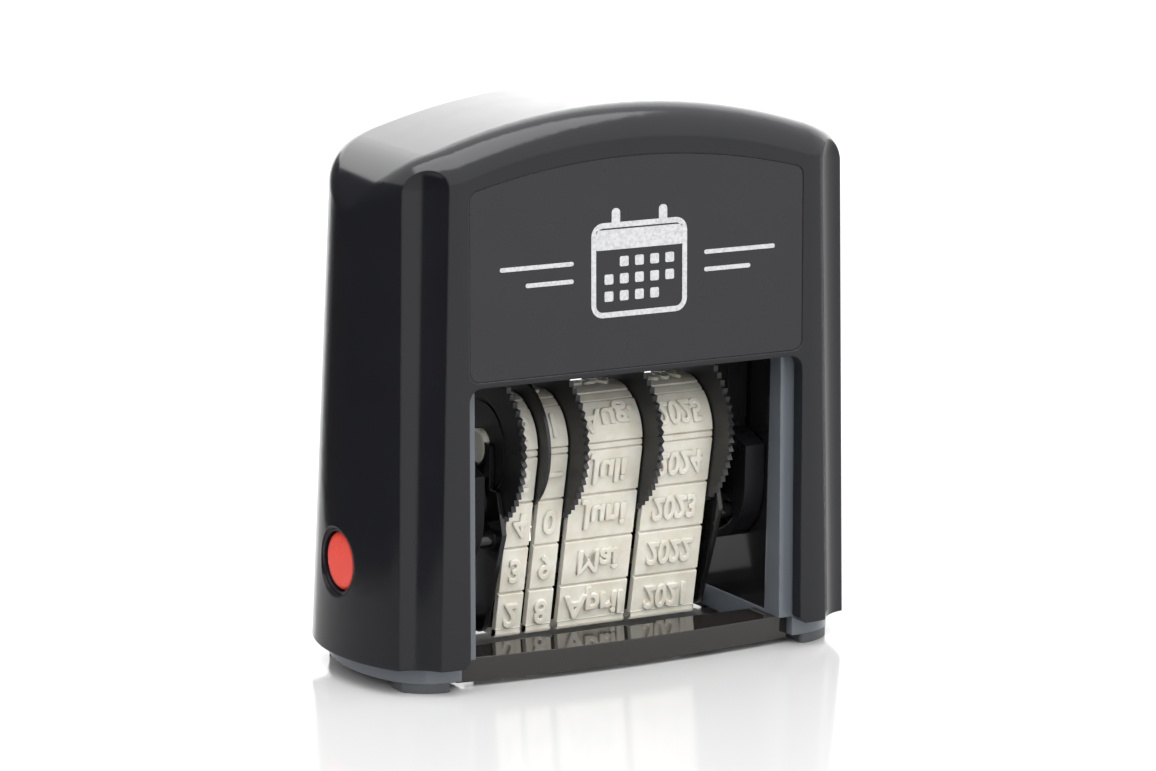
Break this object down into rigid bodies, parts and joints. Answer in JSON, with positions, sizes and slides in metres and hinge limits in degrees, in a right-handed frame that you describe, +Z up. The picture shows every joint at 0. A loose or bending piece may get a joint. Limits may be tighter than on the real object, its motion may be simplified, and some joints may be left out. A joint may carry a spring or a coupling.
{
  "type": "rotary date stamp",
  "caption": "Small self-inking date stamp: a sliding cap turns a carrier of rubber date bands, set by toothed wheels, between an ink pad and the paper.",
  "frame": {"origin": "middle of the footprint, on the table the feet stand on", "axes": "+X along the long front face, -Y out of the front face, +Z up"},
  "size_m": [0.0654, 0.0264, 0.0651],
  "materials": {
    "cap_black": "smooth gloss",
    "label_film": "satin film",
    "yoke_black": "moulded satin",
    "spring_steel": "drawn wire",
    "button_red": "gloss",
    "frame_grey": "moulded satin",
    "crossbar_smoke": "gloss",
    "foot_dark": "matte",
    "tray_black": "moulded",
    "pad_felt": "inked felt",
    "carrier_black": "gloss",
    "axle_ivory": "gloss",
    "wheel_black": "moulded satin",
    "band_cream": "matte"
  },
  "bodies": {
    "frame": {"inner_frame": "frame_grey", "cam_plate_left": "carrier_black", "cam_plate_right": "carrier_black", "front_crossbar": "crossbar_smoke", "rear_crossbar": "crossbar_smoke", "foot_front_left": "foot_dark", "foot_front_right": "foot_dark", "foot_back_left": "foot_dark", "foot_back_right": "foot_dark", "ink_tray": "tray_black", "ink_pad": "pad_felt", "return_spring": "spring_steel"},
    "cap": {"cap_shell": "cap_black", "front_label": "label_film", "back_label": "label_film", "yoke": "yoke_black"},
    "button_left": {"lock_button_left": "button_red"},
    "button_right": {"lock_button_right": "button_red"},
    "carrier": {"carrier_cheek_left": "carrier_black", "carrier_cheek_right": "carrier_black", "print_platen": "carrier_black", "tie_rod": "carrier_black", "wheel_axle": "axle_ivory", "spacer_disc": "wheel_black", "band_day_tens": "band_cream", "band_day_units": "band_cream", "band_month": "band_cream", "band_year": "band_cream"},
    "day_tens_wheel": {"wheel_day_tens": "wheel_black"},
    "day_units_wheel": {"wheel_day_units": "wheel_black"},
    "month_wheel": {"wheel_month": "wheel_black"},
    "year_wheel": {"wheel_year": "wheel_black"}
  },
  "joints": [
    {"name": "cap_press", "type": "slide", "parent": "frame", "child": "cap", "axis": [0, 0, 1], "range_m": [0, 0.016], "deforming": ["return_spring"]},
    {"name": "carrier_flip", "type": "hinge", "parent": "cap", "child": "carrier", "pos_m": [0, 0, 0.01875], "axis": [1, 0, 0], "range_deg": [0, 180]},
    {"name": "wheel_day_tens_turn", "type": "hinge", "parent": "carrier", "child": "day_tens_wheel", "pos_m": [0, 0, 0.0252], "axis": [1, 0, 0], "continuous": true},
    {"name": "wheel_day_units_turn", "type": "hinge", "parent": "carrier", "child": "day_units_wheel", "pos_m": [0, 0, 0.0252], "axis": [1, 0, 0], "continuous": true},
    {"name": "wheel_month_turn", "type": "hinge", "parent": "carrier", "child": "month_wheel", "pos_m": [0, 0, 0.0252], "axis": [1, 0, 0], "continuous": true},
    {"name": "wheel_year_turn", "type": "hinge", "parent": "carrier", "child": "year_wheel", "pos_m": [0, 0, 0.0252], "axis": [1, 0, 0], "continuous": true},
    {"name": "lock_left", "type": "slide", "parent": "cap", "child": "button_left", "axis": [-1, 0, 0], "range_m": [0, 0.002]},
    {"name": "lock_right", "type": "slide", "parent": "cap", "child": "button_right", "axis": [1, 0, 0], "range_m": [0, 0.002]}
  ],
  "couplings": [
    {"joint": "carrier_flip", "follows": "cap_press", "rad_per_m": 196.34}
  ]
}
